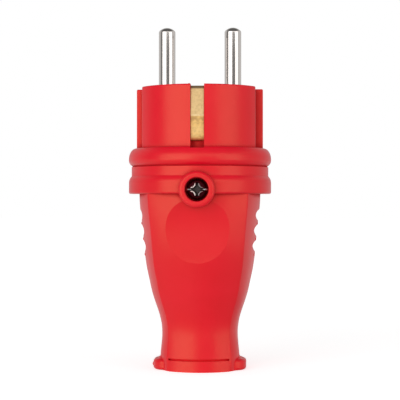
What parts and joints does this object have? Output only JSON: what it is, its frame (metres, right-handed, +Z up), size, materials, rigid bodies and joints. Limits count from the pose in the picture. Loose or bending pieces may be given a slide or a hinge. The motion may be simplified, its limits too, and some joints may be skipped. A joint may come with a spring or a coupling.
{
  "type": "rubber electric plug",
  "caption": "Red rubber mains plug with round pins, side earth contacts, a ringed barrel and a ribbed, dished handle that tapers to a flanged cord outlet.",
  "frame": {"origin": "on the plug's long axis, in the plane of the tail's end face that it stands on", "axes": "+Z up the plug from the tail to the pins, +X from the line pin to the neutral pin, -Y the front with the body screw and the dish"},
  "size_m": [0.041, 0.0425, 0.0983],
  "materials": {
    "red_rubber": "satin moulded",
    "insert": "hard moulded",
    "nickel": "bright nickel plate",
    "brass": "pale stamped",
    "steel": "zinc plate",
    "seal_rubber": "soft moulded"
  },
  "bodies": {
    "root": {"rear_handle": "red_rubber", "front_shell": "red_rubber", "carrier_face": "insert", "terminal_block": "insert", "line_pin": "nickel", "neutral_pin": "nickel", "earth_strap": "brass", "earth_saddle": "brass", "earth_terminal_screw": "steel", "line_terminal_screw": "steel", "neutral_terminal_screw": "steel", "carrier_screw_left": "steel", "carrier_screw_right": "steel", "body_screw": "steel", "body_nut": "steel", "cord_clamp": "insert", "cord_clamp_screw_left": "steel", "cord_clamp_screw_right": "steel", "cord_seal": "seal_rubber"}
  },
  "joints": []
}
